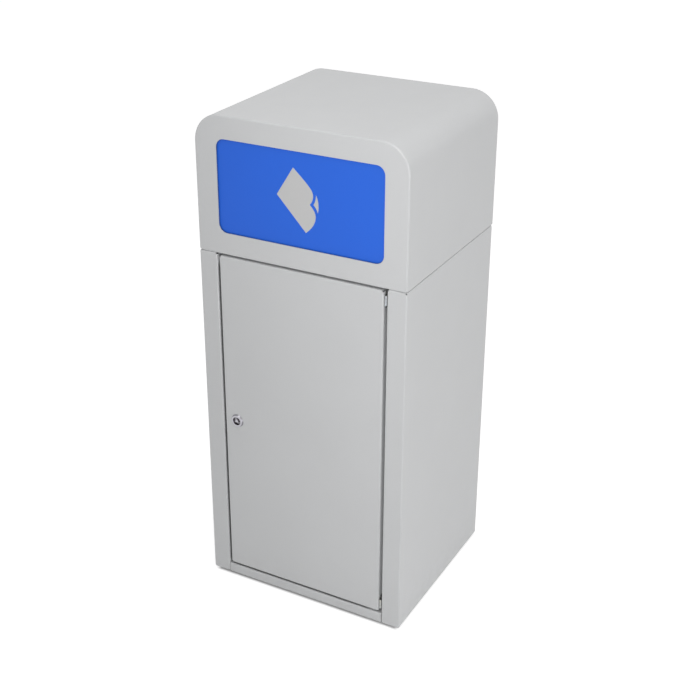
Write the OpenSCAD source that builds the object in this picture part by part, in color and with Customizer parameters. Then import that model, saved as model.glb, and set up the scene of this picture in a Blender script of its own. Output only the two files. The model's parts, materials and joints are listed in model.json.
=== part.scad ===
// Paper recycling bin of folded sheet steel: a cabinet with a hinged door and a lift-out liner,
// and a round-edged hood whose front opening is closed by a push flap that swings inwards.
// Millimetres, +Z up, front towards -Y. The origin is on the floor, in the middle of the cabinet.

/* [Cabinet] */
// Overall width across the side walls
body_w = 400; // [370:1:460]
// Overall depth from the front face to the back face
body_d = 354; // [340:1:420]
// Height of the folded body shell
shell_h = 667; // [560:1:760]
// Height of the body shell's lower edge above the floor
ground_gap = 4; // [2:0.5:6]
// Thickness of the painted steel sheet
sheet = 1.5; // [1.2:0.1:1.8]
// Outer radius of every fold in the painted sheet
fold_r = 3; // [2.6:0.1:3.4]
// Width of each front jamb beside the door
jamb_w = 36; // [30:1:44]
// Depth of the jamb's return, from the front face to the door stop
jamb_depth = 20; // [19:0.5:24]
// Width of the door stop that stands out behind the jamb
stop_w = 12; // [10:0.5:14]
// Height of the rail under the door
rail_h = 20; // [14:1:26]
// Open seam between the rail's ends and the jambs
rail_seam = 0.5; // [0.2:0.1:0.8]
// Width of the inward folds along the shell's lower edge
lower_fold = 9; // [7:0.5:10]
// Width of the inward folds along the shell's upper edge, which carry the hood
ledge_w = 24; // [22:1:30]
// Height of the legs of the rail above the door
top_leg = 22; // [16:1:26]

/* [Base] */
// Height of the rubber feet, and of the pan's underside
foot_h = 8; // [7:0.5:10]
// Radius of a foot where it meets the pan
foot_r = 14; // [11:0.5:16]
// Distance of each foot's centre from the side wall's outer face
foot_inset = 25; // [21:1:30]
// Height of the base pan's upturned edges
pan_edge = 20; // [14:1:30]
// Radius of each floor-fixing hole
fixing_r = 5; // [3:0.5:6]
// Spacing of the floor-fixing holes from left to right
fixing_x = 160; // [120:1:190]
// Spacing of the floor-fixing holes from front to back
fixing_y = 200; // [140:1:240]

/* [Door] */
// Gap between the door and the jamb, rail and hood
door_gap = 4; // [3:0.1:5]
// Gap between the door and the jamb on the hinge side
hinge_gap = 5.6; // [5.4:0.1:6.4]
// Depth of the door's folded edges
door_depth = 16; // [14:0.5:16.5]
// Width of the lips that stiffen the door's upright edges
door_lip = 10; // [8:0.5:12]
// Width across the raised face of the door's stiffener
stiffener_w = 32; // [24:1:50]
// Width of each flat edge of the stiffener
stiffener_edge = 14; // [10:1:20]
// Radius of the rubber door buffers
buffer_r = 3.4; // [2.5:0.1:3.8]

/* [Hinges] */
// Outer radius of the hinge knuckles
knuckle_r = 2.4; // [2.2:0.05:2.5]
// Radius of the hinge pins
pin_r = 1.2; // [1:0.05:1.25]
// Length of each of a hinge's three knuckles
knuckle_h = 5.8; // [5:0.1:8]
// Height of the hinge leaves
leaf_h = 30; // [26:1:32]
// Distance from the door's end to the middle of the hinge
hinge_inset = 17; // [16.5:0.5:40]
// Running clearance on a pin's radius
run_fit = 0.05; // [0.03:0.01:0.08]

/* [Lock] */
// Distance from the door's free edge to the lock's axis
lock_inset = 25.5; // [25:0.5:30]
// Radius of the lock's bezel
bezel_r = 12.5; // [11:0.5:14]
// Height of the bezel above the door's face
bezel_h = 3; // [2.5:0.1:3.4]
// Radius of the lock's barrel
barrel_r = 9; // [8.5:0.1:9.5]
// Radius of the turning core
core_r = 6; // [5:0.1:6.4]
// Corner radius of the triangular key stud
stud_r = 4.6; // [3.5:0.1:5]
// Length of the cam from the axis to its tip
cam_reach = 27; // [25:0.5:28]
// Thickness of the cam
cam_t = 3; // [2:0.5:3.5]

/* [Hood] */
// Height of the hood
hood_h = 246; // [230:1:280]
// Radius of the hood's round left and right top edges
hood_r = 50; // [40:1:56]
// Depth of the hood's front edge fold over the top rail
front_fold = 40; // [34:1:50]
// Distance between the left and right hood bolts
bolt_span = 240; // [180:1:280]

/* [Flap] */
// Width of the hood's front sheet beside the opening
slot_side = 42.5; // [41:0.5:48]
// Height of the opening in the hood's front
slot_h = 166; // [150:1:170]
// Corner radius of the opening
slot_r = 16; // [8:1:24]
// How far the flap reaches past the opening on each side and below
flap_lap = 10; // [9:0.5:11]
// Thickness of the flap's sheet
flap_t = 1.2; // [1:0.1:1.4]
// Space between the hood's front sheet and the flap
flap_space = 2; // [1.6:0.1:2.6]
// Depth of the flap's folded edges
flap_edge = 8; // [7:0.5:10]
// Radius of the hinge rod
rod_r = 3; // [2.5:0.1:3.4]
// Height of the hinge rod above the opening's top edge
rod_rise = 14; // [12:0.5:16]
// Opening angle of the flap
flap_open = 75; // [65:1:78]
// Thickness of the flap brackets
bracket_t = 2; // [1.6:0.1:2.4]

/* [Liner] */
// Clearance between the liner's rim and the door stops it passes
liner_side = 2; // [1.5:0.5:6]
// Depth of the liner's box
liner_d = 300; // [270:1:304]
// Distance from the cabinet's upper edge down to the liner's rim
liner_drop = 49.5; // [34:0.5:90]
// Thickness of the liner's galvanised sheet
liner_t = 1; // [0.8:0.1:1.2]
// Inner radius of the liner's folds
liner_fold = 1; // [0.6:0.1:1]
// Width of the liner's outward rim
rim_w = 4; // [3.4:0.1:4.6]
// Height of the rim's turned-down edge
rim_h = 7; // [5:0.5:10]
// Distance from the cabinet's front face to the liner's front wall
liner_front = 37; // [36.5:0.5:40]
// Length of the hand holes
hand_l = 95; // [80:1:110]
// Height of the hand holes
hand_h = 30; // [26:1:36]
// Distance from the rim down to the middle of the hand holes
hand_drop = 45; // [35:1:70]
// Height of the liner above the base pan
runner_h = 12; // [10:0.5:16]

/* [Hidden] */
$fn = 64;

// Colours as the finished piece shows them
paint = [0.79, 0.80, 0.80];
blue = [0.16, 0.37, 0.84];
zinc = [0.66, 0.68, 0.70];
chrome = [0.82, 0.82, 0.84];
rubber = [0.12, 0.12, 0.13];

// Small clearances: a surface that only has to stay clear, a piece resting on rubber, a welded
// or bolted fit, and the overcut of a hole
clear = 0.5;
touch = 0.3;
weld_fit = 0.1;
over = 1;
left_turn = 1;
right_turn = -1;

// Cabinet planes
front_y = -body_d / 2;
back_y = body_d / 2;
side_x = body_w / 2;
inner_x = side_x - sheet;
inner_back = back_y - sheet;
fold_in = fold_r - sheet;
shell_z0 = ground_gap;
shell_z1 = shell_z0 + shell_h;
jamb_x = side_x - jamb_w;
stop_x = jamb_x - stop_w;
stop_y = front_y + jamb_depth;
stop_back = stop_y + sheet;
rail_z1 = shell_z0 + rail_h;
pan_top = foot_h + sheet;

// Hood and what it rests on
hood_z0 = shell_z1;
bolt_r = 3;
bolt_hole_r = 3.3;
bolt_head_r = 5.8;
bolt_head_h = 4;
nut_h = 5;
bolt_tail = 3;
bolt_shift = 2.5;
bolt_front_y = stop_back + ledge_w / 2 - bolt_shift;
bolt_rear_y = inner_back - ledge_w / 2;
bolt_side_x = inner_x - ledge_w / 2;
bolt_spots = [[-bolt_span / 2, bolt_front_y], [bolt_span / 2, bolt_front_y],
    [-bolt_span / 2, bolt_rear_y], [bolt_span / 2, bolt_rear_y],
    [-bolt_side_x, 0], [bolt_side_x, 0]];

// Flap
slot_w = body_w - 2 * slot_side;
slot_z0 = hood_z0 + (hood_h - slot_h) / 2;
slot_z1 = slot_z0 + slot_h;
flap_y = front_y + sheet + flap_space;
roll_in = rod_r + run_fit;
roll_r = roll_in + flap_t;
rod_y = flap_y + roll_r;
rod_z = slot_z1 + rod_rise;
flap_w = slot_w + 2 * flap_lap;
flap_z0 = slot_z0 - flap_lap;
roll_gap = 2.5;
bracket_x = flap_w / 2 + roll_gap;
bracket_half = 8;
bracket_foot = 10;
rod_tail = 3;
tab_front = 34;
tab_l = 12;
tab_y = rod_y + tab_front;
// The tab meets the edge of the folded side when the flap is fully open
edge_rise = flap_edge - roll_r;
tab_along = (tab_front - edge_rise * cos(flap_open)) / sin(flap_open);
tab_z = rod_z - tab_along * cos(flap_open) + edge_rise * sin(flap_open) + touch;
clip_t = 1.2;
clip_r = rod_y - front_y - sheet - bracket_t - touch;
flap_buffer_r = 4;
flap_buffer_h = flap_space - touch;

// Door
door_x0 = -jamb_x + door_gap;
door_x1 = jamb_x - hinge_gap;
door_z0 = rail_z1 + door_gap;
door_z1 = hood_z0 - door_gap;
door_w = door_x1 - door_x0;
door_h = door_z1 - door_z0;
door_cx = (door_x0 + door_x1) / 2;
door_cz = (door_z0 + door_z1) / 2;
door_back = front_y + door_depth;
stiffener_d = door_depth - sheet - clear;
stiffener_in = 3;
buffer_x = (-jamb_x + door_gap - stop_x) / 2;
buffer_inset = 60;
buffer_rise = 70;
buffer_zs = [door_z0 + buffer_inset, door_cz + buffer_rise, door_z1 - buffer_inset];

// Hinges: the pin stands in the gap, just behind the front face
pin_x = jamb_x - hinge_gap / 2;
pin_y = front_y + knuckle_r + clear;
knuckle_gap = 0.3;
hinge_h = 3 * knuckle_h + 2 * knuckle_gap;
hinge_zs = [door_z0 + hinge_inset, door_z1 - hinge_inset];
leaf_t = 1.5;
leaf_back = 1;

// Lock
lock_x = door_x0 + lock_inset;
lock_z = door_cz;
keep_t = 1.5;
keep_h = 70;
head_lap = 2;
recess_r = core_r + head_lap;
recess_below = 2;
recess_d = bezel_h + recess_below;
head_r = recess_r - touch;
head_h = 1.6;
stud_turn = 30;
cam_y0 = stop_back + keep_t + touch;
cam_w = 14;
barrel_y1 = cam_y0 - touch;
nut_t = 4;
nut_wall = 3.6;
nut_r = barrel_r + nut_wall;
square_half = 4;
screw_r = 2;
screw_l = 5;
screw_head_r = 5.7;
screw_head_h = 2.6;

// Liner and its runners
runner_top = pan_top + runner_h;
liner_w = 2 * (stop_x - liner_side - rim_w);
liner_h = shell_z1 - liner_drop - runner_top;
liner_y0 = front_y + liner_front;
liner_cy = liner_y0 + liner_d / 2;
liner_z1 = runner_top + liner_h;
liner_bend = liner_fold + liner_t;
rim_flat = rim_w - liner_bend - liner_fold;
lip_l = rim_h - liner_bend;
end_notch = 2;
runner_gap = 1.5;
runner_ledge = 24;
runner_foot = 14;
upstand = 20;
runner_end = 12;
hand_z = liner_z1 - hand_drop;
trim_out = 2.4;
trim_in = 2;
trim_side = 1.1;

// Feet
foot_x = side_x - foot_inset;
foot_front_gap = 6;
foot_rear_gap = 12;
foot_front_y = stop_back + foot_r + foot_front_gap;
foot_rear_y = inner_back - foot_r - foot_rear_gap;
foot_spots = [[-foot_x, foot_front_y], [foot_x, foot_front_y],
    [-foot_x, foot_rear_y], [foot_x, foot_rear_y]];
foot_taper = 2;
foot_screw_r = 2.5;
foot_screw_tail = 4;
foot_head_r = 5;
foot_head_h = 3;
foot_recess_d = 4;

// Flat shapes
module quarter(r) {
    intersection() {
        circle(r);
        square(r);
    }
}

module rounded(w, d, r) {
    square([w, d - 2 * r], center = true);
    square([w - 2 * r, d], center = true);
    for (mx = [0, 1], my = [0, 1])
        mirror([mx, 0]) mirror([0, my]) translate([w / 2 - r, d / 2 - r]) quarter(r);
}

// A quarter bend of the sheet's mid-line, turning left (1) or right (-1)
module bend(turn, t, r_in) {
    mid = r_in + t / 2;
    mirror([0, turn > 0 ? 0 : 1]) translate([0, mid]) mirror([0, 1]) difference() {
        quarter(r_in + t);
        circle(r_in);
    }
}

// A folded strip seen on edge: straight lengths joined by quarter bends
module strip(lengths, turns, t = sheet, r_in = fold_in, i = 0) {
    mid = r_in + t / 2;
    translate([0, -t / 2]) square([lengths[i], t]);
    if (i < len(turns)) translate([lengths[i], 0]) {
        bend(turns[i], t, r_in);
        translate([mid, turns[i] * mid]) rotate(90 * turns[i])
            strip(lengths, turns, t, r_in, i + 1);
    }
}

// A channel on its back, open upwards, its edges turned in again where a lip is given
module channel(w, depth, lip = 0, t = sheet, r_in = fold_in) {
    r = r_in + t;
    if (lip > 0)
        translate([-w / 2 + lip, depth - t / 2]) rotate(180)
            strip([lip - r, depth - 2 * r, w - 2 * r, depth - 2 * r, lip - r],
                [left_turn, left_turn, left_turn, left_turn], t, r_in);
    else
        translate([-w / 2 + t / 2, depth]) rotate(-90)
            strip([depth - r, w - 2 * r, depth - r], [left_turn, left_turn], t, r_in);
}

// A shallow tray with all four edges folded up and its corners notched
module tray(w, h, depth, lip = 0) {
    rotate([90, 0, 0]) linear_extrude(h - 2 * fold_r, center = true) channel(w, depth, lip);
    rotate([90, 0, 90]) linear_extrude(w - 2 * fold_r, center = true) channel(h, depth);
}

// Edge of an upright wall folded inwards to a width of w: the wall's outer face is x = 0
module rim(w) {
    translate([-sheet / 2, -over]) rotate(90) strip([over, w - fold_r], [left_turn]);
}

// Straight run of that edge: turn 0 folds towards -X, 90 towards -Y and -90 towards +Y
module rim_run(turn, l, w) {
    rotate([90, 0, turn]) linear_extrude(l, center = true) rim(w);
}

// Turned piece with its axis towards the back
module turned(y) {
    translate([0, y, 0]) rotate([-90, 0, 0]) children();
}

module both_sides() {
    children();
    mirror([1, 0, 0]) children();
}

module bolt_holes(z) {
    for (p = bolt_spots)
        translate([p[0], p[1], z - over]) cylinder(h = sheet + 2 * over, r = bolt_hole_r);
}

// Cabinet: the notches that the corners need are left open between the folds
module shell_rims(wall_fold, jamb_fold) {
    both_sides() {
        translate([side_x, 0, 0]) rim_run(0, body_d - 2 * fold_r, wall_fold);
        translate([(jamb_x + side_x) / 2, front_y, 0]) rim_run(-90, jamb_w - 2 * fold_r, jamb_fold);
    }
    translate([0, back_y, 0]) rim_run(90, body_w - 2 * fold_r, wall_fold);
}

module body_shell() {
    stop_l = stop_w - fold_in;
    return_l = jamb_depth + sheet - 2 * fold_r;
    jamb_l = jamb_w - 2 * fold_r;
    side_l = body_d - 2 * fold_r;
    back_l = body_w - 2 * fold_r;
    color(paint) difference() {
        union() {
            translate([-stop_x, stop_y + sheet / 2, shell_z0 + fold_r])
                linear_extrude(shell_h - 2 * fold_r) rotate(180)
                strip([stop_l, return_l, jamb_l, side_l, back_l, side_l, jamb_l, return_l, stop_l],
                    [left_turn, right_turn, right_turn, right_turn,
                        right_turn, right_turn, right_turn, left_turn]);
            translate([0, 0, shell_z1 - fold_r]) shell_rims(ledge_w, jamb_depth);
            translate([0, 0, shell_z0 + fold_r]) mirror([0, 0, 1]) shell_rims(lower_fold, lower_fold);
        }
        bolt_holes(shell_z1 - sheet);
    }
}

module base_pan() {
    pan_y0 = stop_back + clear;
    pan_d = inner_back - pan_y0;
    tongue_w = 2 * (stop_x - clear);
    color(paint) difference() {
        union() {
            translate([0, pan_y0 + pan_d / 2, foot_h]) {
                rotate([90, 0, 0]) linear_extrude(pan_d - 2 * fold_r, center = true)
                    channel(2 * inner_x, pan_edge);
                translate([0, pan_d / 2 - fold_r - sheet, sheet / 2]) rotate([90, 0, 90])
                    linear_extrude(2 * (inner_x - fold_r), center = true)
                    strip([sheet, pan_edge - fold_r], [left_turn]);
            }
            translate([0, pan_y0 + fold_r + sheet, foot_h + sheet / 2]) rotate([90, 0, -90])
                linear_extrude(tongue_w, center = true)
                strip([pan_y0 - front_y, rail_z1 - sheet - fold_in - foot_h - fold_r], [left_turn]);
        }
        for (x = [-fixing_x / 2, fixing_x / 2], y = [-fixing_y / 2, fixing_y / 2])
            translate([x, y, foot_h - over]) cylinder(h = sheet + 2 * over, r = fixing_r);
        for (p = foot_spots)
            translate([p[0], p[1], foot_h - over])
                cylinder(h = sheet + 2 * over, r = foot_screw_r + weld_fit);
    }
}

module front_rail() {
    top_l = jamb_depth - fold_r - clear;
    color(paint) translate([0, front_y + fold_r + top_l, rail_z1 - sheet / 2]) rotate([90, 0, -90])
        linear_extrude(2 * (jamb_x - rail_seam), center = true)
        strip([top_l, rail_h - 2 * fold_r, fold_r], [right_turn, right_turn]);
}

module top_rail() {
    color(paint) difference() {
        translate([0, stop_back + ledge_w / 2, shell_z1]) rotate([90, 0, 90])
            linear_extrude(2 * (side_x - ledge_w - clear), center = true)
            mirror([0, 1]) channel(ledge_w, top_leg);
        bolt_holes(shell_z1 - sheet);
    }
}

module lock_keep() {
    color(zinc) translate([-jamb_x, stop_back, lock_z - keep_h / 2])
        cube([stop_w, keep_t, keep_h]);
}

module door_buffers() {
    color(rubber) for (z = buffer_zs)
        translate([buffer_x, stop_y, z]) rotate([90, 0, 0])
            cylinder(h = stop_y - door_back - touch, r = buffer_r);
}

module feet() {
    color(rubber) for (p = foot_spots) translate([p[0], p[1], 0]) difference() {
        cylinder(h = foot_h, r1 = foot_r - foot_taper, r2 = foot_r);
        translate([0, 0, -over]) cylinder(h = foot_recess_d + over, r = foot_head_r + clear);
        translate([0, 0, -over]) cylinder(h = foot_h + 2 * over, r = foot_screw_r + weld_fit);
    }
}

module foot_screws() {
    color(zinc) for (p = foot_spots) translate([p[0], p[1], foot_recess_d - foot_head_h]) {
        cylinder(h = foot_head_h, r = foot_head_r);
        cylinder(h = pan_top - foot_recess_d + foot_head_h + foot_screw_tail, r = foot_screw_r);
    }
}

// Hinges
module leaf(bore_r, from, to) {
    arm_x = hinge_gap / 2 - leaf_t;
    arm_w = knuckle_r - arm_x - clear / 2;
    difference() {
        union() {
            for (k = [from : 2 : to])
                translate([0, 0, -hinge_h / 2 + k * (knuckle_h + knuckle_gap)])
                    cylinder(h = knuckle_h, r = knuckle_r);
            translate([arm_x, knuckle_r + leaf_back, -leaf_h / 2])
                cube([leaf_t, door_depth - 2 * knuckle_r - clear - 2 * leaf_back, leaf_h]);
            for (k = [from : 2 : to])
                translate([arm_x, 0, -hinge_h / 2 + k * (knuckle_h + knuckle_gap)])
                    cube([arm_w, knuckle_r + leaf_back + over, knuckle_h]);
        }
        cylinder(h = 2 * hinge_h, r = bore_r, center = true);
    }
}

module hinge_leaves_fixed() {
    color(zinc) for (z = hinge_zs) translate([pin_x, pin_y, z]) leaf(pin_r, 0, 2);
}

module hinge_leaves_door() {
    color(zinc) for (z = hinge_zs) translate([pin_x, pin_y, z]) mirror([1, 0, 0])
        leaf(pin_r + run_fit, 1, 1);
}

module hinge_pins() {
    color(zinc) for (z = hinge_zs) translate([pin_x, pin_y, z])
        cylinder(h = hinge_h, r = pin_r, center = true);
}

// Hood
module hood_wall() {
    translate([0, front_y + sheet / 2])
        strip([hood_r - fold_r, body_d - fold_r], [left_turn]);
}

module hood_shell() {
    straight_h = hood_h - hood_r;
    flat_w = body_w - 2 * hood_r;
    wall_z = hood_z0 + fold_r;
    ledge_end = back_y - ledge_w - clear;
    ledge_start = front_y + fold_r;
    color(paint) difference() {
        union() {
            both_sides() {
                translate([flat_w / 2, 0, wall_z]) linear_extrude(straight_h - fold_r) hood_wall();
                translate([flat_w / 2, 0, hood_z0 + straight_h]) rotate([90, 0, 0])
                    rotate_extrude(angle = 90) mirror([0, 1]) hood_wall();
            }
            translate([0, 0, hood_z0 + straight_h]) rotate([0, -90, 0])
                linear_extrude(flat_w, center = true) hood_wall();
            translate([-flat_w / 2, front_y, wall_z]) cube([flat_w, sheet, straight_h - fold_r]);
            translate([0, 0, wall_z]) mirror([0, 0, 1]) {
                translate([0, front_y, 0]) rim_run(-90, body_w - 2 * fold_r, front_fold);
                both_sides() translate([side_x, (ledge_start + back_y) / 2, 0])
                    rim_run(0, back_y - ledge_start, fold_r + over);
                both_sides() translate([side_x, (ledge_start + ledge_end) / 2, 0])
                    rim_run(0, ledge_end - ledge_start, ledge_w);
            }
        }
        translate([0, front_y - over, (slot_z0 + slot_z1) / 2]) rotate([-90, 0, 0])
            linear_extrude(sheet + 2 * over) rounded(slot_w, slot_h, slot_r);
        bolt_holes(hood_z0);
    }
}

module hood_back() {
    w = 2 * (inner_x - weld_fit);
    h = hood_h - sheet - weld_fit;
    r = hood_r - sheet - weld_fit;
    color(paint) difference() {
        union() {
            translate([0, back_y, hood_z0]) rotate([90, 0, 0]) linear_extrude(sheet) {
                translate([-w / 2, fold_r]) square([w, h - r - fold_r]);
                translate([-w / 2 + r, fold_r]) square([w - 2 * r, h - fold_r]);
                for (m = [0, 1]) mirror([m, 0]) translate([w / 2 - r, h - r]) quarter(r);
            }
            translate([0, back_y, hood_z0 + fold_r]) mirror([0, 0, 1])
                rim_run(90, 2 * (side_x - fold_r - over - clear), ledge_w);
        }
        bolt_holes(hood_z0);
    }
}

module hood_bolts() {
    color(zinc) for (p = bolt_spots) translate([p[0], p[1], hood_z0 + sheet]) {
        cylinder(h = bolt_head_h, r = bolt_head_r, $fn = 6);
        translate([0, 0, -2 * sheet - nut_h - bolt_tail])
            cylinder(h = 2 * sheet + nut_h + bolt_tail, r = bolt_r);
    }
}

module hood_nuts() {
    color(zinc) for (p = bolt_spots) translate([p[0], p[1], shell_z1 - sheet - nut_h]) difference() {
        cylinder(h = nut_h, r = bolt_head_r, $fn = 6);
        translate([0, 0, -over]) cylinder(h = nut_h + 2 * over, r = bolt_r + weld_fit);
    }
}

// Flap and what carries it
module flap_brackets() {
    foot_y = front_y + sheet;
    arm_l = tab_y + tab_l - foot_y;
    arm_z0 = min(rod_z - bracket_half, tab_z);
    arm_h = rod_z + bracket_half - arm_z0;
    color(zinc) both_sides() difference() {
        union() {
            translate([bracket_x, foot_y, arm_z0]) cube([bracket_foot, bracket_t, arm_h]);
            translate([bracket_x, foot_y, arm_z0]) cube([bracket_t, arm_l, arm_h]);
            translate([bracket_x - tab_l, tab_y, tab_z]) cube([tab_l + bracket_t, tab_l, bracket_t]);
        }
        translate([bracket_x - over, rod_y, rod_z]) rotate([0, 90, 0])
            cylinder(h = bracket_t + 2 * over, r = rod_r + run_fit);
    }
}

module flap_rod() {
    color(zinc) translate([0, rod_y, rod_z]) rotate([0, 90, 0])
        cylinder(h = 2 * (bracket_x + bracket_t + clip_t + rod_tail), r = rod_r, center = true);
}

module rod_clips() {
    clip_x = bracket_x + bracket_t + weld_fit;
    color(zinc) both_sides() translate([clip_x, rod_y, rod_z]) rotate([0, 90, 0])
        difference() {
            cylinder(h = clip_t, r = clip_r);
            translate([0, 0, -over]) cylinder(h = clip_t + 2 * over, r = rod_r);
        }
}

module flap_buffers() {
    x = (slot_w + flap_lap) / 2;
    color(rubber) both_sides() for (z = [slot_z0 - flap_lap / 2, (slot_z0 + slot_z1) / 2])
        translate([x, front_y + sheet, z]) rotate([-90, 0, 0])
            cylinder(h = flap_buffer_h, r = flap_buffer_r);
}

module flap_panel() {
    notch = fold_in + flap_t;
    roll_l = flap_w - 2 * notch;
    side_top = rod_z - roll_r - notch;
    color(blue) difference() {
        union() {
            translate([0, flap_y, flap_z0 + notch]) linear_extrude(side_top - flap_z0 - notch)
                channel(flap_w, flap_edge, 0, flap_t, fold_in);
            translate([-roll_l / 2, flap_y, side_top - over])
                cube([roll_l, flap_t, rod_z - roll_r / 2 - side_top + over]);
            translate([0, flap_y + flap_edge, flap_z0 + flap_t / 2]) rotate([90, 0, -90])
                linear_extrude(roll_l, center = true)
                strip([flap_edge - notch, notch], [left_turn], flap_t, fold_in);
            translate([0, rod_y, rod_z]) rotate([0, 90, 0])
                cylinder(h = roll_l, r = roll_r, center = true);
        }
        translate([0, rod_y, rod_z]) rotate([0, 90, 0])
            cylinder(h = flap_w, r = roll_in, center = true);
    }
}

// Door
module door_panel() {
    color(paint) difference() {
        translate([door_cx, front_y, door_cz]) rotate([-90, 0, 0])
            tray(door_w, door_h, door_depth, door_lip);
        translate([lock_x, 0, lock_z]) turned(front_y - over)
            cylinder(h = sheet + 2 * over, r = barrel_r + weld_fit);
    }
}

module door_stiffener() {
    web = stiffener_d - 2 * fold_r;
    raised = stiffener_w - 2 * fold_r;
    color(paint) translate([door_cx - stiffener_w / 2 - stiffener_edge, front_y + sheet + sheet / 2,
            door_z0 + fold_r + stiffener_in])
        linear_extrude(door_h - 2 * (fold_r + stiffener_in))
        strip([stiffener_edge - fold_in, web, raised, web, stiffener_edge - fold_in],
            [left_turn, right_turn, right_turn, left_turn]);
}

// Lock
module lock_housing() {
    color(chrome) translate([lock_x, 0, lock_z]) difference() {
        union() {
            turned(front_y - bezel_h) cylinder(h = bezel_h, r1 = bezel_r - bezel_h / 2, r2 = bezel_r);
            turned(front_y - over) cylinder(h = barrel_y1 - front_y + over, r = barrel_r);
        }
        turned(front_y - bezel_h - over) cylinder(h = recess_d + over, r = recess_r);
        turned(front_y) cylinder(h = barrel_y1 - front_y + over, r = core_r + run_fit);
    }
}

module lock_nut() {
    color(zinc) translate([lock_x, 0, lock_z]) difference() {
        turned(front_y + sheet) cylinder(h = nut_t, r = nut_r, $fn = 6);
        turned(front_y) cylinder(h = sheet + nut_t + over, r = barrel_r + weld_fit);
    }
}

module lock_core() {
    head_y1 = front_y - bezel_h + recess_d - weld_fit;
    head_y0 = head_y1 - head_h;
    stud_l = head_y0 - front_y + bezel_h - clear;
    color(chrome) translate([lock_x, 0, lock_z]) difference() {
        union() {
            turned(head_y0) cylinder(h = head_h, r = head_r);
            turned(head_y0 - stud_l) rotate(stud_turn)
                cylinder(h = stud_l + head_h / 2, r = stud_r, $fn = 3);
            turned(head_y0 + head_h / 2)
                cylinder(h = cam_y0 - head_y0 - head_h / 2 - weld_fit, r = core_r);
            translate([-square_half, cam_y0 - over, -square_half])
                cube([2 * square_half, cam_t + over - weld_fit, 2 * square_half]);
        }
        turned(cam_y0 - screw_l - over) cylinder(h = screw_l + cam_t + 2 * over, r = screw_r + weld_fit);
    }
}

module lock_cam() {
    color(zinc) translate([lock_x, cam_y0, lock_z]) difference() {
        union() {
            turned(0) cylinder(h = cam_t, r = cam_w / 2);
            translate([-cam_w / 2, 0, -cam_reach]) cube([cam_w, cam_t, cam_reach]);
        }
        translate([-square_half - weld_fit, -over, -square_half - weld_fit])
            cube([2 * (square_half + weld_fit), cam_t + 2 * over, 2 * (square_half + weld_fit)]);
    }
}

module cam_screw() {
    color(zinc) translate([lock_x, 0, lock_z]) {
        turned(cam_y0 + cam_t) cylinder(h = screw_head_h, r = screw_head_r);
        turned(cam_y0 - screw_l) cylinder(h = screw_l + cam_t + over, r = screw_r);
    }
}

// Liner
module hand_hole(grow) {
    rounded(hand_l + 2 * grow, hand_h + 2 * grow, hand_h / 2 + grow - weld_fit);
}

// Front wall, floor and back wall in one strip, with a turned-down rim at both ends
module liner() {
    wall_l = liner_h - 2 * liner_bend;
    color(zinc) translate([0, liner_y0 - rim_w + liner_t / 2, liner_z1 - rim_h]) rotate([90, 0, 90])
        linear_extrude(liner_w, center = true) rotate(90)
        strip([lip_l, rim_flat, wall_l, liner_d - 2 * liner_bend, wall_l, rim_flat, lip_l],
            [right_turn, right_turn, left_turn, left_turn, right_turn, right_turn], liner_t, liner_fold);
}

// End panels welded between the strip's edges
module liner_ends() {
    end_d = liner_d - 2 * (liner_t + weld_fit);
    end_z = runner_top + liner_t + weld_fit;
    color(zinc) both_sides() difference() {
        translate([liner_w / 2 - liner_t / 2, liner_cy, end_z]) rotate([90, 0, 0])
            linear_extrude(end_d, center = true) rotate(90)
            strip([liner_z1 - liner_bend - end_z, rim_flat, lip_l], [right_turn, right_turn],
                liner_t, liner_fold);
        translate([liner_w / 2, liner_cy, hand_z]) rotate([90, 0, 90])
            linear_extrude(2 * (liner_t + over), center = true) hand_hole(0);
        for (m = [-1, 1]) translate([liner_w / 2, liner_cy + m * end_d / 2, end_z])
            cube(2 * end_notch, center = true);
    }
}

module grip_trims() {
    wall_x = liner_w / 2 - liner_t;
    color(rubber) both_sides() translate([wall_x - trim_side, liner_cy, hand_z]) rotate([90, 0, 90])
        difference() {
            linear_extrude(liner_t + 2 * trim_side) difference() {
                hand_hole(trim_out);
                hand_hole(-trim_in);
            }
            translate([0, 0, trim_side]) linear_extrude(liner_t) difference() {
                hand_hole(trim_out + over);
                hand_hole(0);
            }
        }
}

module liner_runners() {
    end_x = liner_w / 2 + runner_gap + sheet;
    run_l = liner_d - 2 * runner_end;
    color(zinc) both_sides()
        translate([end_x - runner_ledge - runner_foot, liner_cy + run_l / 2, pan_top + sheet / 2])
        rotate([90, 0, 0]) linear_extrude(run_l)
        strip([runner_foot - fold_in, runner_h - 2 * fold_r, runner_ledge - 2 * fold_r,
            upstand - fold_in], [left_turn, right_turn, left_turn]);
}

body_shell();
base_pan();
front_rail();
top_rail();
lock_keep();
door_buffers();
feet();
foot_screws();
hinge_leaves_fixed();
hinge_pins();
hood_shell();
hood_back();
hood_bolts();
hood_nuts();
flap_brackets();
flap_rod();
rod_clips();
flap_buffers();
liner();
liner_ends();
grip_trims();
liner_runners();
flap_panel();
door_panel();
door_stiffener();
hinge_leaves_door();
lock_housing();
lock_nut();
lock_core();
lock_cam();
cam_screw();
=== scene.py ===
# %% [markdown]
# # A paper recycling bin of folded sheet steel
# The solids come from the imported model, and this lesson dresses them. It sets up the studio and the
# camera, works out each finish as shader nodes, and adds the pieces that are too fine for solids:
# the paper sign, screw threads, the marks that spot welding leaves and the liner's weld beads.
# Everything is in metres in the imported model's own frame, so a new piece goes where the solids say.

import math

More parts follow.
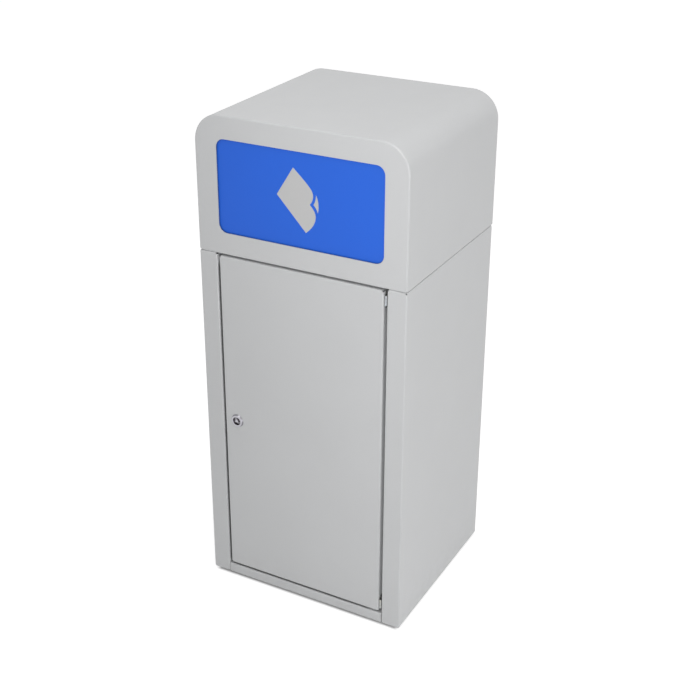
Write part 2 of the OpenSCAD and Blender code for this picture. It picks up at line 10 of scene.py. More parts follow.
import bpy
import numpy as np
from mathutils import Matrix, Vector
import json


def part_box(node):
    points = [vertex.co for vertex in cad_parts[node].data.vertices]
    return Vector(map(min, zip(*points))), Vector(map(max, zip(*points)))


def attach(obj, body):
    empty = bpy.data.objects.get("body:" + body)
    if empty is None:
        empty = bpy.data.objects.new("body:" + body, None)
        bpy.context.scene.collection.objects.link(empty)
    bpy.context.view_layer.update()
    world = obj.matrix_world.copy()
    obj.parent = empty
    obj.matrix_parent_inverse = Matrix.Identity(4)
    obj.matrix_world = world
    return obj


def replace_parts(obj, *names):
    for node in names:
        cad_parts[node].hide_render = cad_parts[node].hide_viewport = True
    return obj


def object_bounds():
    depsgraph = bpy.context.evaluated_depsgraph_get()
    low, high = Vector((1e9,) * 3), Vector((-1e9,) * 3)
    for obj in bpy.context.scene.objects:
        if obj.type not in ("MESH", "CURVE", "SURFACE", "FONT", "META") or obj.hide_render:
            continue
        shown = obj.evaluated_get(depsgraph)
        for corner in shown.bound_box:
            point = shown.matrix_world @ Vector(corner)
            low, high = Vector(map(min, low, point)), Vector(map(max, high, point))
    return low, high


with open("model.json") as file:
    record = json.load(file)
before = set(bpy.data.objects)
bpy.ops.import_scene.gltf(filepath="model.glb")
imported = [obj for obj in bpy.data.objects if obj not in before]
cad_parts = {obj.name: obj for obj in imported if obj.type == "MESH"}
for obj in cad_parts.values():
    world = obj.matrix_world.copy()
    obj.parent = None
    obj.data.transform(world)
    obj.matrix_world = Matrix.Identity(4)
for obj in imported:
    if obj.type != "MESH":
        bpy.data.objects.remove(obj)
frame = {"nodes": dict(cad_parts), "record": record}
cad_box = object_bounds()
mm = 0.001

# %% [markdown]
# ## Camera
# The photograph was taken from the right of the bin and above it, with a longer lens than a phone's
# and a crop that isn't centred. The crop is a small lens shift. The place and the turn below come
# from fitting a pinhole camera to the corners of the cabinet, its seam and its door.

# %% Camera
eye = Vector((0.99784, -1.868, 1.4958))
yaw, pitch, roll = -0.5139, 0.4405, -0.0051
ahead = Vector((math.sin(yaw) * math.cos(pitch), math.cos(yaw) * math.cos(pitch), -math.sin(pitch)))
level = Vector((math.cos(yaw), -math.sin(yaw), 0))
upright = level.cross(ahead)
right = level * math.cos(roll) + upright * math.sin(roll)
up = upright * math.cos(roll) - level * math.sin(roll)
camera = bpy.data.objects.new("camera", bpy.data.cameras.new("camera"))
camera.data.sensor_width = 36
camera.data.lens = 65.6
camera.data.shift_x = 0.04
camera.data.shift_y = -0.0357
camera.matrix_world = Matrix.Translation(eye) @ Matrix((right, up, -ahead)).transposed().to_4x4()
bpy.context.scene.collection.objects.link(camera)
bpy.context.scene.camera = camera
bpy.context.scene.view_settings.view_transform = "Standard"
print("camera at", [round(x, 3) for x in eye])

# %% [markdown]
# ## Building shaders in code
# A material is a small graph, and written out socket by socket it hides what it does. One helper
# adds a node, sets its options and joins its inputs, so a finish reads like its recipe. An effect
# that several finishes share is a node group with named inputs and outputs.

# %% Helpers for shader nodes
def shader_node(tree, kind, inputs=None, **options):
    """Adds a node of that kind; each input is a value or another node's output."""
    n = tree.nodes.new("ShaderNode" + kind)
    for name, value in options.items():
        setattr(n, name, value)
    for name, value in (inputs or {}).items():
        if isinstance(value, bpy.types.NodeSocket):
            tree.links.new(value, n.inputs[name])
        else:
            n.inputs[name].default_value = value
    return n


def arithmetic(tree, operation, a, b, clamp=False):
    """One sum, product or other operation on two numbers or sockets."""
    return shader_node(tree, "Math", {0: a, 1: b}, operation=operation, use_clamp=clamp).outputs[0]


def times(tree, a, b):
    """The product of two numbers or sockets."""
    return arithmetic(tree, "MULTIPLY", a, b)


def scaled(tree, vector, factor):
    """A vector or a colour, times a number."""
    return shader_node(tree, "VectorMath", {0: vector, "Scale": factor}, operation="SCALE").outputs[0]


def noise(tree, where, scale, detail):
    """Soft random values about 0.5, with that many bumps to the metre and finer layers by detail."""
    made = shader_node(tree, "TexNoise", {"Vector": where, "Scale": scale, "Detail": detail})
    return made.outputs["Fac"]


def remap(tree, value, low, high, out_low, out_high):
    """Stretches low..high to out_low..out_high and clips outside."""
    return shader_node(tree, "MapRange", {"Value": value, "From Min": low, "From Max": high,
                                          "To Min": out_low, "To Max": out_high}).outputs["Result"]


def band(tree, value, low, high, soft=0.01):
    """1 from low to high and 0 outside, with soft edges."""
    return times(tree, remap(tree, value, low - soft, low, 0.0, 1.0),
                 remap(tree, value, high, high + soft, 1.0, 0.0))


def blend_colours(tree, share, a, b):
    """Colour a turned towards colour b by the share."""
    return shader_node(tree, "Mix", {0: share, 6: a, 7: b}, data_type="RGBA").outputs[2]


def openness(tree, reach):
    """1 in the open and 0 deep in a slot, judged by what stands within that reach in metres."""
    return shader_node(tree, "AmbientOcclusion", {"Distance": reach}, samples=8).outputs["AO"]


def raised(tree, depth, height):
    """The normal of a surface that stands out by the depth, in metres, where the height is 1."""
    return shader_node(tree, "Bump", {"Distance": depth, "Height": height}).outputs["Normal"]


def new_group(name, inputs, outputs):
    """An empty node group with those sockets, its input node and a function that joins its outputs."""
    tree = bpy.data.node_groups.new(name, "ShaderNodeTree")
    for socket, kind, value in inputs:
        made = tree.interface.new_socket(socket, in_out="INPUT", socket_type="NodeSocket" + kind)
        if value is not None:
            made.default_value = value
    for socket, kind in outputs:
        tree.interface.new_socket(socket, in_out="OUTPUT", socket_type="NodeSocket" + kind)
    given, result = tree.nodes.new("NodeGroupInput"), tree.nodes.new("NodeGroupOutput")

    def put_out(**values):
        for socket, value in values.items():
            tree.links.new(value, result.inputs[socket])
    return tree, given.outputs, put_out


def use_group(tree, group, **inputs):
    """Places a group in a material with its own values."""
    n = tree.nodes.new("ShaderNodeGroup")
    n.node_tree = group
    for name, value in inputs.items():
        if isinstance(value, bpy.types.NodeSocket):
            tree.links.new(value, n.inputs[name])
        else:
            n.inputs[name].default_value = value
    return n.outputs


def new_material(name, **surface):
    """A material with one Principled shader, whose plain numbers are set on its own sockets."""
    m = bpy.data.materials.new(name)
    m.use_nodes = True
    shader = m.node_tree.nodes["Principled BSDF"]
    for socket, value in surface.items():
        shader.inputs[socket.replace("_", " ")].default_value = value
    place = m.node_tree.nodes.new("ShaderNodeTexCoord").outputs["Object"]
    return m, m.node_tree, shader, place


def feed(tree, shader, **sockets):
    """Joins outputs to the shader's sockets, whose names are written with _ for a space."""
    for socket, value in sockets.items():
        tree.links.new(value, shader.inputs[socket.replace("_", " ")])


def srgb(r, g, b):
    """A colour written as the 0-255 values of a screen, as linear light."""
    shares = (r / 255, g / 255, b / 255)
    return [(s / 12.92 if s <= 0.04045 else ((s + 0.055) / 1.055) ** 2.4) for s in shares] + [1.0]


print("helpers ready; a light grey in linear light:", [round(c, 3) for c in srgb(200, 200, 200)])

# %% [markdown]
# ## Studio
# The bin stands on a white sweep under soft light that comes more from the right and from above.
# The world gives an even base, so colours render about as they are written. A far lamp on the right
# lights the side wall evenly and one overhead lights the top. A light that is near falls off across
# what it lights, so one close to the front's right edge shades the front from right to left, which a
# far one can't do, and a small one before the hood lifts the middle of its front. The backdrop is
# white to the camera and in reflections, and lights nothing: the floor adds white of its own there,
# but little of it under the bin, so the slot between the feet stays as dark as its shadow.

# %% World, lamps and floor
white = (1.0, 1.0, 1.0, 1.0)


def looked_at(tree):
    """1 for rays from the camera and for reflections, and 0 for the rays that light things."""
    path = tree.nodes.new("ShaderNodeLightPath").outputs
    return arithmetic(tree, "MAXIMUM", path["Is Camera Ray"], path["Is Glossy Ray"])


def make_world(strength):
    """Even light, with white where one looks past the floor."""
    world = bpy.data.worlds.new("studio")
    bpy.context.scene.world = world
    world.use_nodes = True
    tree = world.node_tree
    tree.nodes.clear()
    light = shader_node(tree, "Background", {"Color": white, "Strength": strength}).outputs[0]
    backdrop = shader_node(tree, "Background", {"Color": white, "Strength": 1.0}).outputs[0]
    both = shader_node(tree, "MixShader", {0: looked_at(tree), 1: light, 2: backdrop})
    tree.links.new(both.outputs[0], tree.nodes.new("ShaderNodeOutputWorld").inputs["Surface"])


def soft_lamp(name, place, target, width, height, power):
    """A panel of light that faces the target and that the camera doesn't see."""
    lamp = bpy.data.objects.new(name, bpy.data.lights.new(name, "AREA"))
    lamp.data.shape = "RECTANGLE"
    lamp.data.size, lamp.data.size_y = width, height
    lamp.data.energy = power
    lamp.visible_camera = False
    lamp.location = place
    lamp.rotation_euler = (Vector(target) - Vector(place)).to_track_quat("-Z", "Y").to_euler()
    bpy.context.scene.collection.objects.link(lamp)


def make_floor(half):
    """A wide white floor, in steps that grow with the distance from the bin. It glows for the camera
    and for reflections, and the glow fades just inside the bin's outline."""
    steps = np.array([-1, -0.3, -0.08, 0.08, 0.3, 1]) * half
    x, y = np.meshgrid(steps, steps)
    points = np.stack([x, y, 0 * x], -1).reshape(-1, 3)
    n = len(steps)
    a = (np.arange(n - 1)[:, None] * n + np.arange(n - 1)).ravel()
    mesh = bpy.data.meshes.new("floor")
    mesh.from_pydata(points.tolist(), [], np.stack([a, a + 1, a + n + 1, a + n], 1).tolist())
    floor = bpy.data.objects.new("floor", mesh)
    bpy.context.scene.collection.objects.link(floor)
    m, tree, shader, place = new_material("white_floor", Base_Color=(0.62, 0.62, 0.62, 1),
                                          Roughness=0.9, Specular_IOR_Level=0.0)
    side = shader_node(tree, "SeparateXYZ", {0: place}).outputs
    low, high = cad_box
    under, beyond = 0.12, 0.68
    fades = []
    for axis, edge, start, end in (("X", high[0], 0.012, 0.004), ("Y", -low[1], 0.007, 0.001)):
        off = arithmetic(tree, "ABSOLUTE", side[axis], 0)
        fades.append(remap(tree, off, edge - start, edge - end, under, beyond))
    strength = arithmetic(tree, "MAXIMUM", *fades)
    glow = shader_node(tree, "Emission", {"Color": white, "Strength": strength}).outputs[0]
    lit = shader.outputs[0]
    seen = shader_node(tree, "AddShader", {0: lit, 1: glow}).outputs[0]
    both = shader_node(tree, "MixShader", {0: looked_at(tree), 1: lit, 2: seen})
    tree.links.new(both.outputs[0], tree.nodes["Material Output"].inputs["Surface"])
    floor.data.materials.append(m)


make_world(0.553)
# name, place, what it faces, width and height in metres, power in watts
soft_lamp("lamp_near", (0.42, -0.78, 1.2), (0.05, -0.177, 1.1), 0.25, 2.4, 5.7)
soft_lamp("lamp_side", (2.3, 0.5, 0.9), (0.2, 0.0, 0.5), 1.8, 1.8, 11.1)
soft_lamp("lamp_top", (0.2, 0.1, 2.7), (0.0, 0.0, 0.9), 1.6, 1.6, 7.6)
soft_lamp("lamp_hood", (0.03, -0.6, 1.02), (0.0, -0.177, 0.85), 0.3, 0.25, 0.24)
make_floor(half=20)
print("studio ready")

# %% [markdown]
# ## Powder coat
# Powder coat is baked on, so it flows into a skin with a fine orange peel and a satin gloss. The
# colour is even, and what keeps it from looking like plastic is the peel in the highlights, a faint
# cloudiness from panel to panel, and a little dust and scuffing near the floor. All of it hangs on
# the place on the object, so neighbouring panels match. The group gives colour, gloss and normal.
# The slots round the door and flap are painted darker, as painted shade. Occlusion within a finger's
# width finds them, and follows the door when it opens. Two bands of place keep this painted shade
# out of the slot over the door and the one at its hinges.

# %% Powder coat
# Where the paint gets no painted shade in the slots, from low to high in metres, and how dark the
# painted shade makes the paint deep in the other slots.
hinge_slot_x, hinge_slot_z = (0.14, 0.18), (0.0, 0.68)
over_door_x, over_door_z = (-0.18, 0.18), (0.655, 0.68)
slot_shade_tone = 0.3


def powder_coat_group():
    """Peel is the orange peel's height in metres, Dust shows near the floor and Open is 0 deep in a
    slot, where the paint gets painted shade."""
    tree, given, put_out = new_group(
        "powder_coat",
        [("Place", "Vector", None), ("Paint", "Color", (0.5, 0.5, 0.5, 1)), ("Peel", "Float", 0.00013),
         ("Gloss", "Float", 0.4), ("Dust", "Float", 0.3), ("Open", "Float", 1.0)],
        [("Colour", "Color"), ("Roughness", "Float"), ("Normal", "Vector")])
    where = given["Place"]
    cloud = remap(tree, noise(tree, where, 7, 3), 0.3, 0.7, 0.988, 1.01)
    grain = remap(tree, noise(tree, where, 1900, 1), 0.3, 0.7, 0.985, 1.015)
    at = shader_node(tree, "SeparateXYZ", {0: where}).outputs
    by_hinge = times(tree, band(tree, at["X"], *hinge_slot_x), band(tree, at["Z"], *hinge_slot_z))
    over_door = times(tree, band(tree, at["X"], *over_door_x), band(tree, at["Z"], *over_door_z))
    shade_free = arithmetic(tree, "MAXIMUM", by_hinge, over_door)
    # Painted shade: the paint is darker deep in the slots, except in the two bands by the hinges and
    # over the door.
    deepest = remap(tree, shade_free, 0.0, 1.0, slot_shade_tone, 1.0)
    slot = remap(tree, given["Open"], 0.12, 0.6, deepest, 1.0)
    toned = scaled(tree, given["Paint"], times(tree, slot, times(tree, cloud, grain)))
    near_floor = remap(tree, at["Z"], 0.004, 0.09, 1.0, 0.0)
    blotch = remap(tree, noise(tree, where, 60, 5), 0.42, 0.66, 0.0, 1.0)
    dust = times(tree, times(tree, near_floor, blotch), given["Dust"])
    dust_grey = (0.36, 0.34, 0.31, 1)
    dull = times(tree, noise(tree, where, 24, 4), 0.09)
    rough = arithmetic(tree, "ADD", given["Gloss"], arithmetic(tree, "ADD", dull, dust), clamp=True)
    fine_peel = times(tree, noise(tree, where, 1500, 1), 0.25)
    peel = arithmetic(tree, "ADD", noise(tree, where, 420, 2), fine_peel)
    put_out(Colour=blend_colours(tree, dust, toned, dust_grey), Roughness=rough,
            Normal=raised(tree, given["Peel"], peel))
    return tree


coat = powder_coat_group()


def powder_coated(name, paint, gloss, dust):
    """Satin paint of that colour over folded sheet."""
    m, tree, shader, place = new_material(name, Specular_IOR_Level=0.45)
    out = use_group(tree, coat, Place=place, Paint=paint, Gloss=gloss, Dust=dust,
                    Open=openness(tree, 0.016))
    feed(tree, shader, Base_Color=out["Colour"], Roughness=out["Roughness"], Normal=out["Normal"])
    return m


grey_paint = powder_coated("grey_powder_coat", srgb(202, 203, 204), 0.38, 0.06)
blue_paint = powder_coated("blue_powder_coat", srgb(29, 98, 216), 0.42, 0.0)
print("paints:", grey_paint.name, blue_paint.name)

# %% [markdown]
# ## Bare metals
# Three bare metals meet here. Bright zinc plate on bolts, brackets and hinges has a fine drawn grain
# and a faint yellow and blue bloom. The liner is hot-dip galvanised: zinc freezes into spangles, flat
# crystals a finger wide that each catch the light in their own way, which a cell texture does too.
# The lock is chromed brass, nearly a mirror, with hair scratches where keys have slipped, and painted
# shade darkens its recesses.

# %% Zinc, galvanised sheet and chrome
def grain_group():
    """Fine lines drawn along one direction: a noise squeezed across it by Fineness."""
    tree, given, put_out = new_group(
        "drawn_grain",
        [("Place", "Vector", None), ("Along", "Vector", (1, 1, 0.05)), ("Fineness", "Float", 900.0)],
        [("Lines", "Float")])
    squeezed = shader_node(tree, "VectorMath", {0: given["Place"], 1: given["Along"]},
                           operation="MULTIPLY").outputs[0]
    put_out(Lines=noise(tree, squeezed, given["Fineness"], 3))
    return tree


drawn_grain = grain_group()


def zinc_plated():
    """Bright zinc with drawn grain, a pale bloom and painted shade in crevices."""
    m, tree, shader, place = new_material("zinc_plate", Metallic=1.0)
    lines = use_group(tree, drawn_grain, Place=place, Along=(0.06, 1.0, 1.0), Fineness=1400.0)["Lines"]
    bloom = remap(tree, noise(tree, place, 90, 2), 0.35, 0.65, 0.0, 1.0)
    tint = blend_colours(tree, bloom, srgb(170, 174, 179), srgb(176, 175, 167))
    # Painted shade: the zinc is darker where occlusion finds a crevice, times the drawn grain's tone.
    shade = times(tree, remap(tree, openness(tree, 0.012), 0.25, 0.85, 0.4, 1.0),
                  remap(tree, lines, 0.3, 0.7, 0.9, 1.05))
    feed(tree, shader, Base_Color=scaled(tree, tint, shade),
         Roughness=remap(tree, lines, 0.3, 0.7, 0.3, 0.46), Normal=raised(tree, 0.00001, lines))
    return m


def galvanised_sheet():
    """Spangles: each cell has its own brightness and gloss, and rises from its middle to its rim."""
    m, tree, shader, place = new_material("galvanised_sheet", Metallic=0.9)
    bend = shader_node(tree, "TexNoise", {"Vector": place, "Scale": 30.0, "Detail": 2.0})
    shift = scaled(tree, bend.outputs["Color"], 0.02)
    where = shader_node(tree, "VectorMath", {0: place, 1: shift}, operation="ADD").outputs[0]
    cells = shader_node(tree, "TexVoronoi", {"Vector": where, "Scale": 75.0}, feature="F1").outputs
    crystal = shader_node(tree, "SeparateXYZ", {0: cells["Color"]}).outputs
    feather = noise(tree, where, 260, 4)
    tone = arithmetic(tree, "ADD", remap(tree, crystal["X"], 0, 1, 0.82, 1.04),
                      remap(tree, feather, 0.3, 0.7, -0.05, 0.05))
    rough = arithmetic(tree, "ADD", remap(tree, crystal["Y"], 0, 1, 0.34, 0.5),
                       remap(tree, feather, 0.3, 0.7, -0.03, 0.06))
    relief = arithmetic(tree, "ADD", cells["Distance"], times(tree, feather, 0.4))
    feed(tree, shader, Base_Color=scaled(tree, srgb(176, 181, 186)[:3], tone), Roughness=rough,
         Normal=raised(tree, 0.00004, relief))
    return m


def chromed_brass():
    """A mirror with hair scratches, a little finger haze and painted shade in its recesses."""
    m, tree, shader, place = new_material("chrome", Metallic=1.0)
    lines = use_group(tree, drawn_grain, Place=place, Along=(1.0, 1.0, 0.12), Fineness=2600.0)["Lines"]
    scratch = remap(tree, lines, 0.62, 0.7, 0.0, 0.12)
    haze = remap(tree, noise(tree, place, 160, 3), 0.4, 0.7, 0.07, 0.15)
    worn = blend_colours(tree, scratch, srgb(176, 175, 181), srgb(120, 121, 126))
    # Painted shade: deep in the lock's recesses the chrome turns towards a dark grey.
    recess_shade = remap(tree, openness(tree, 0.006), 0.45, 0.95, 0.9, 0.0)
    feed(tree, shader, Base_Color=blend_colours(tree, recess_shade, worn, srgb(52, 48, 50)),
         Roughness=arithmetic(tree, "ADD", scratch, haze), Normal=raised(tree, 0.000006, lines))
    return m


zinc_plate, galvanised, chrome = zinc_plated(), galvanised_sheet(), chromed_brass()
print("metals:", zinc_plate.name, galvanised.name, chrome.name)

# %% [markdown]
# ## Rubber
# Feet, buffers and the grip trims are moulded rubber: almost black, dull, with the fine spark-eroded
# texture of its mould and a grey bloom of dust where nothing rubs it off.

# %% Rubber
def moulded_rubber():
    """Dull black with a mould's grain and grey bloom."""
    m, tree, shader, place = new_material("rubber", Specular_IOR_Level=0.4)
    bloom = remap(tree, noise(tree, place, 140, 4), 0.4, 0.75, 0.0, 0.5)
    grain = noise(tree, place, 2400, 1)
    feed(tree, shader, Base_Color=blend_colours(tree, bloom, srgb(34, 34, 36), srgb(66, 65, 63)),
         Roughness=remap(tree, bloom, 0, 0.5, 0.62, 0.82), Normal=raised(tree, 0.00005, grain))
    return m


rubber = moulded_rubber()
finishes = {"grey_paint": grey_paint, "blue_paint": blue_paint, "zinc_plate": zinc_plate,
            "galvanised": galvanised, "chrome": chrome, "rubber": rubber}
for part in frame["record"]["subparts"]:
    solid = frame["nodes"][part["node"]]
    solid.data.materials.clear()
    solid.data.materials.append(finishes[part["material_slot"]])

# %% [markdown]
# ## Paper sign
# The flap carries a light sticker: a sheet of paper that curls at one corner. It is this bin's own
# plain drawing of a kind that any paper bin may carry. A sticker is cut film a seventh of a
# millimetre thick, so it needs a rim that catches light, and no more. Its outline is a chain of
# cubic arcs, and the piece is that outline filled, with a thickness and a bevelled rim.

# %% Paper sign
def arcs(start, chain, steps=16):
    """Points along cubic arcs: B(t) = (1-t)^3 P0 + 3t(1-t)^2 P1 + 3t^2(1-t) P2 + t^3 P3.
    Each link is an end point for a straight line, or two handles and an end point."""
    out, at = [], np.array(start, float)
    for link in chain:
        link = np.array(link, float)
        if link.ndim == 1:
            link = np.stack([at + (link - at) / 3, at + (link - at) * 2 / 3, link])
        t = np.linspace(0, 1, steps, endpoint=False)[:, None]
        u = 1 - t
        out.append(u ** 3 * at + 3 * t * u ** 2 * link[0] + 3 * t ** 2 * u * link[1] + t ** 3 * link[2])
        at = link[2]
    return np.concatenate(out)


def film_mesh(name, outlines, thick, rim):
    """Cut film from closed outlines in millimetres: a flat curve, filled, with thickness and rim."""
    curve = bpy.data.curves.new(name, "CURVE")
    curve.dimensions = "2D"
    curve.fill_mode = "BOTH"
    curve.extrude = thick / 2 - rim
    curve.bevel_depth = rim
    curve.offset = -rim
    for line in outlines:
        spline = curve.splines.new("POLY")
        spline.points.add(len(line) - 1)
        flat = np.column_stack([line, np.zeros(len(line)), np.ones(len(line))])
        spline.points.foreach_set("co", flat.astype(np.float32).ravel())
        spline.use_cyclic_u = True
    holder = bpy.data.objects.new(name, curve)
    bpy.context.scene.collection.objects.link(holder)
    bpy.context.view_layer.update()
    mesh = bpy.data.meshes.new_from_object(holder.evaluated_get(bpy.context.evaluated_depsgraph_get()))
    bpy.data.objects.remove(holder)
    bpy.data.curves.remove(curve)
    return mesh


sheet_outline = arcs((-11, 54), [
    ((3, 41), (16, 30), (22.6, 21)), ((28.2, 13), (26.6, 2.5), (19.6, -4.6)),
    ((27.6, -12.4), (31.4, -19.5), (30.4, -27)), ((29.4, -38), (21, -47.5), (12, -55)),
    (-42.5, 3.6), (-11, 54)])
curl_outline = arcs((31.4, 13.6), [
    ((35, 8), (37.6, -4), (34.8, -17.2)), ((33.6, -12.6), (30.6, -7.6), (26.6, -3.6)),
    ((29.6, 0.4), (31.4, 6.6), (31.4, 13.6))])
film_thick, film_rim = 0.14, 0.04
sign_mesh = film_mesh("paper_sign", [sheet_outline, curl_outline], film_thick, film_rim)
print("sign has", len(sign_mesh.polygons), "faces")

# %% [markdown]
# The film is drawn flat, then laid on the flap's face: across the drawing is across the bin, up the
# drawing is up the bin, and its thickness stands out towards the reader. It rides on the flap, so it
# swings inwards with it.

# %% Lay the sign on the flap
def new_piece(name, mesh, body, material):
    """A finished piece whose place is in its mesh, riding on a body."""
    piece = bpy.data.objects.new(name, mesh)
    bpy.context.scene.collection.objects.link(piece)
    mesh.materials.clear()
    mesh.materials.append(material)
    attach(piece, body)
    return piece


def sign_film():
    """Matt vinyl in a grey near the cabinet's, with the faint ripple of film over paint."""
    m, tree, shader, place = new_material("sign_film", Specular_IOR_Level=0.4)
    ripple = noise(tree, place, 220, 2)
    tone = remap(tree, noise(tree, place, 900, 2), 0.3, 0.7, 0.985, 1.01)
    feed(tree, shader, Base_Color=scaled(tree, srgb(194, 194, 194)[:3], tone),
         Roughness=remap(tree, ripple, 0.3, 0.7, 0.46, 0.56), Normal=raised(tree, 0.00002, ripple))
    return m


flap_low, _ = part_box("flap_panel")
sign_height = 0.794
flat = np.zeros(len(sign_mesh.vertices) * 3, np.float32)
sign_mesh.vertices.foreach_get("co", flat)
flat = flat.reshape(-1, 3) * mm
placed = np.column_stack([flat[:, 0], flap_low.y - film_thick * mm / 2 - flat[:, 2],
                          sign_height + flat[:, 1]])
sign_mesh.vertices.foreach_set("co", placed.astype(np.float32).ravel())
sign_mesh.update()
new_piece("paper_sign", sign_mesh, "flap", sign_film())
print("sign spans", placed.min(0).round(4).tolist(), placed.max(0).round(4).tolist())

# %% [markdown]
# ## Bolts, nuts and the cam's screw
# Six M6 bolts hold the hood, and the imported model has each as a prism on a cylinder. On a real head a
# cone cuts the corners of the hexagon, and the tail carries a thread. Both are a radius that changes
# with the angle and the height, so one stack of rings makes a whole bolt: the hexagon is the flat's
# distance over the cosine of the angle to it, the chamfer is the smaller of that and the cone, and
# the thread is a saw-tooth of the height less the turn. It is made once and copied to its places.

# %% Turned pieces
around = 48
turn = np.linspace(0, 2 * np.pi, around, endpoint=False)
thread_step, thread_depth = 0.17, 0.55
sharp = math.radians(38)


def rings(*parts, around=around):
    """Stacks parts of a profile in millimetres. Each part is a radius and its heights, and the radius
    is one number, one for each height, or a row over the angles for each height."""
    radius, height = [], []
    for r, h in parts:
        h, r = np.atleast_1d(np.array(h, float)), np.array(r, float)
        radius.append(np.broadcast_to(r if r.ndim == 2 else r.reshape(-1, 1), (len(h), around)))
        height.append(h)
    return np.concatenate(radius), np.concatenate(height)[:, None]


def turned_mesh(name, radius, height, places, axis="up", loop=False):
    """Rings about an axis: the point is (r cos a, r sin a, h) for each angle a, copied to every place.
    Flat caps close the ends, or a loop joins them. axis is "up", or "back" towards +Y."""
    n, k = radius.shape
    a = np.linspace(0, 2 * np.pi, k, endpoint=False)
    point = np.stack([radius * np.cos(a), radius * np.sin(a), height + 0 * radius], -1)
    point = point.reshape(-1, 3) * mm
    if axis == "back":
        point = point[:, [0, 2, 1]] * [1, 1, -1]
    i, j = np.meshgrid(np.arange(n if loop else n - 1), np.arange(k), indexing="ij")
    here, above, beside = i * k, (i + 1) % n * k, (j + 1) % k
    quads = np.stack([here + j, here + beside, above + beside, above + j], -1).reshape(-1, 4)
    caps = np.stack([np.arange(k)[::-1], np.arange(k) + (n - 1) * k])
    places = np.array(places, float)
    copy = np.arange(len(places))[:, None, None] * len(point)
    faces = (quads + copy).reshape(-1, 4).tolist()
    faces += [] if loop else (caps + copy).reshape(-1, k).tolist()
    mesh = bpy.data.meshes.new(name)
    mesh.from_pydata((places[:, None] + point).reshape(-1, 3).tolist(), [], faces)
    mesh.polygons.foreach_set("use_smooth", np.ones(len(faces), bool))
    mesh.set_sharp_from_angle(angle=sharp)
    return mesh


def chamfered_hexagon(flat, z, both_ends=False):
    """Radius of a hexagon, flat / cos(angle to the nearest flat), cut by a 30 degree cone at its top
    or at both ends. On the end face the cone starts at a circle a little inside the flats."""
    z = np.array(z, float)[:, None]
    outline = (flat / np.cos(turn % (np.pi / 3) - np.pi / 6))[None]
    depth = np.minimum(z.max() - z, z - z.min()) if both_ends else z.max() - z
    end_circle, slope = 0.96 * flat, math.tan(math.radians(60))
    return np.minimum(outline, end_circle + depth * slope)


def threaded(outer, pitch, z):
    """Radius of a thread: outer less a saw-tooth of the height over the pitch, less the turn. The
    tooth is thread_depth times the pitch."""
    tooth = np.abs(2 * ((z[:, None] / pitch - turn / (2 * np.pi)) % 1) - 1)
    return outer - thread_depth * pitch * tooth


tail, head, flat, pitch, shank = 11.0, 4.0, 5.0, 1.0, 2.95
tip, washer_face = 2.1, 4.85
thread_z = np.arange(0.6 - tail, -0.9, thread_step)
head_z = [0.3, 3.0, 3.3, 3.6, 3.8, head]
bolt_rings = rings((tip, -tail), (threaded(shank, pitch, thread_z), thread_z), (shank, [-0.8, 0]),
                   (washer_face, [0, 0.3]), (chamfered_hexagon(flat, head_z), head_z))
nut, nut_bore = 5.0, 3.05
nut_z = [0, 0.25, 0.5, 0.8, nut - 0.8, nut - 0.5, nut - 0.25, nut]
nut_rings = rings((nut_bore, 0), (chamfered_hexagon(flat, nut_z, both_ends=True), nut_z),
                  (nut_bore, nut))
print("bolt rings:", len(bolt_rings[0]), "nut rings:", len(nut_rings[0]))

# %% [markdown]
# The bolts stand in the hood's folded edges: two in front, two behind and one at each side. Their
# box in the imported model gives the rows, because a head reaches its corner radius past its own axis
# across the bin and its flat's distance past it in depth.

# %% Place the bolts and nuts
corner = flat / math.cos(math.radians(30))
low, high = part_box("hood_bolts")
row_x, side_x = 120 * mm, high.x - corner * mm
front_y, rear_y = low.y + flat * mm, high.y - flat * mm
spots = [(-row_x, front_y), (row_x, front_y), (-row_x, rear_y), (row_x, rear_y),
         (-side_x, 0), (side_x, 0)]
seat = low.z + tail * mm
hood_bolts = turned_mesh("hood_bolt_set", *bolt_rings, [(x, y, seat) for x, y in spots])
nut_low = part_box("hood_nuts")[0].z
hood_nuts = turned_mesh("hood_nut_set", *nut_rings, [(x, y, nut_low) for x, y in spots], loop=True)
for mesh, node in ((hood_bolts, "hood_bolts"), (hood_nuts, "hood_nuts")):
    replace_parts(new_piece(mesh.name, mesh, "cabinet", zinc_plate), node)
print("bolts at", [(round(x / mm, 1), round(y / mm, 1)) for x, y in spots])

# %% [markdown]
# Behind the door, the lock's large nut and the screw that holds its cam are turned about the lock's
# own axis. The screw has a domed pan head with a cross recess. The recess is a drop in the height of
# the rings wherever the point lies inside one of two crossed bars. The lock's barrel is threaded for
# the nut, and what stands out behind the nut shows it.

# %% Lock nut, barrel thread and cam screw
def smooth_inside(distance, soft):
    """1 well inside an edge, 0 outside it, and 3t^2 - 2t^3 between."""
    t = np.clip(distance / soft, 0, 1)
    return t * t * (3 - 2 * t)


low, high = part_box("lock_nut")
lock_place = Vector(((low.x + high.x) / 2, low.y, (low.z + high.z) / 2))
thick, big_flat, big_bore = (high.y - low.y) / mm, (high.z - low.z) / 2 / mm, 9.05
big_z = [0, 0.3, 0.6, 0.9, thick - 0.9, thick - 0.6, thick - 0.3, thick]
big_nut = rings((big_bore, 0), (chamfered_hexagon(big_flat, big_z, both_ends=True), big_z),
                (big_bore, thick))
mesh = turned_mesh("lock_hex_nut", *big_nut, [lock_place], "back", loop=True)
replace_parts(new_piece(mesh.name, mesh, "door", zinc_plate), "lock_nut")

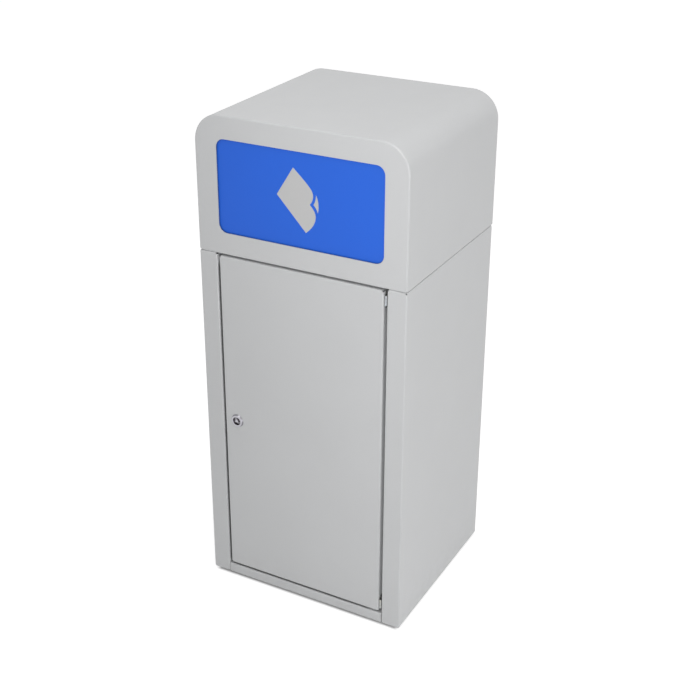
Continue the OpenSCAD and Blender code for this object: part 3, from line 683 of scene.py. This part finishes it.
nut_back, barrel_back = high.y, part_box("lock_housing")[1].y
crest, root, fine_pitch = 9.3, 8.9, 1.0
barrel_z = np.arange(0.3, (barrel_back - nut_back) / mm - 0.5, thread_step)
barrel_rings = rings((root, 0.1), (threaded(crest, fine_pitch, barrel_z), barrel_z),
                     (root, barrel_z[-1] + 0.3))
thread_place = (lock_place.x, nut_back, lock_place.z)
mesh = turned_mesh("barrel_thread", *barrel_rings, [thread_place], "back", loop=True)
new_piece(mesh.name, mesh, "door", chrome)
print("thread behind the nut, millimetres:", round(float(barrel_z[-1]), 1))

low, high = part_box("cam_screw")
screw_head = 2.6
shaft = (high.y - low.y) / mm - screw_head
dome = ([5.5, 5.7, 5.6, 5.1, 4.3, 3.6], [0, 0.4, 1.2, 1.9, 2.3, 2.48])
crown = np.arange(3.2, 0.4, -0.3)
radius, height = rings((1.6, -shaft), (2.0, [0.5 - shaft, 0]), dome, (crown, screw_head + 0 * crown))
x, z = np.abs(radius * np.cos(turn)), np.abs(radius * np.sin(turn))
half_bar, bar_reach, recess = 0.7, 2.8, 1.4
cross = (smooth_inside(half_bar - np.minimum(x, z), 0.3)
         * smooth_inside(bar_reach - np.maximum(x, z), 0.6))
height = height - recess * cross * (height > screw_head - 0.1)
screw_place = (lock_place.x, high.y - screw_head * mm, lock_place.z)
mesh = turned_mesh("cam_pan_screw", radius, height, [screw_place], "back")
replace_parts(new_piece(mesh.name, mesh, "lock", zinc_plate), "cam_screw")
print("lock axis at", [round(c / mm, 1) for c in lock_place])

# %% [markdown]
# ## Welds
# Spot welding squeezes two sheets between copper tips, and leaves a shallow ring with a dimple that
# paint softens but doesn't hide. The door's stiffener has a row of them along each edge, and the
# lock keep has three. The liner's ends are run in with a torch, which leaves a bead of small ripples
# down each corner: an ellipse carried up the seam, whose size swells and shrinks with the height.

# %% Spot welds and beads
mark = rings((2.7, -0.05), ([2.7, 2.5, 2.1, 1.5, 0.8], [0, 0.12, 0.15, 0.05, 0.02]), around=20)
low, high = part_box("door_stiffener")
sheet, edge, door_pitch, keep_pitch = 1.5 * mm, 14 * mm, 74 * mm, 25 * mm
lowest, highest = low.z + 30 * mm, high.z - 20 * mm
edge_x = (low.x + edge / 2 - mm, high.x - edge / 2 + mm)
edge_z = np.arange(lowest, highest, door_pitch)
spots = [(x, low.y + sheet, z) for x in edge_x for z in edge_z]
mesh = turned_mesh("door_weld_marks", *mark, spots, "back")
new_piece(mesh.name, mesh, "door", grey_paint)
low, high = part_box("lock_keep")
middle = (low + high) / 2
spots = [(middle.x, high.y, middle.z + step * keep_pitch) for step in (-1, 0, 1)]
mesh = turned_mesh("keep_weld_marks", *mark, spots, "back")
new_piece(mesh.name, mesh, "cabinet", zinc_plate)

wrap_low, wrap_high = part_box("liner")
ends_low, ends_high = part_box("liner_ends")
bead_start, bead_margin, bead_step = 4, 9, 0.9
bead_z = np.arange(bead_start, (wrap_high.z - wrap_low.z) / mm - bead_margin, bead_step)[:, None]
bead_turn = np.linspace(0, 2 * np.pi, 12, endpoint=False)
half_x, half_y, ripple_length, swell = 0.5, 1.1, 3.6, 0.14
oval = 1 / np.sqrt((np.cos(bead_turn) / half_x) ** 2 + (np.sin(bead_turn) / half_y) ** 2)
ripple = 1 - swell + swell * np.cos(2 * np.pi * bead_z / ripple_length)
seams = [(x, y, wrap_low.z) for x in (wrap_low.x, wrap_high.x) for y in (ends_low.y, ends_high.y)]
mesh = turned_mesh("liner_weld_beads", ripple * oval, bead_z, seams)
new_piece(mesh.name, mesh, "cabinet", galvanised)
print("weld marks on the door:", 2 * len(edge_z), "beads:", len(seams))

# %% [markdown]
# ## Finish

# %% Finish
import json
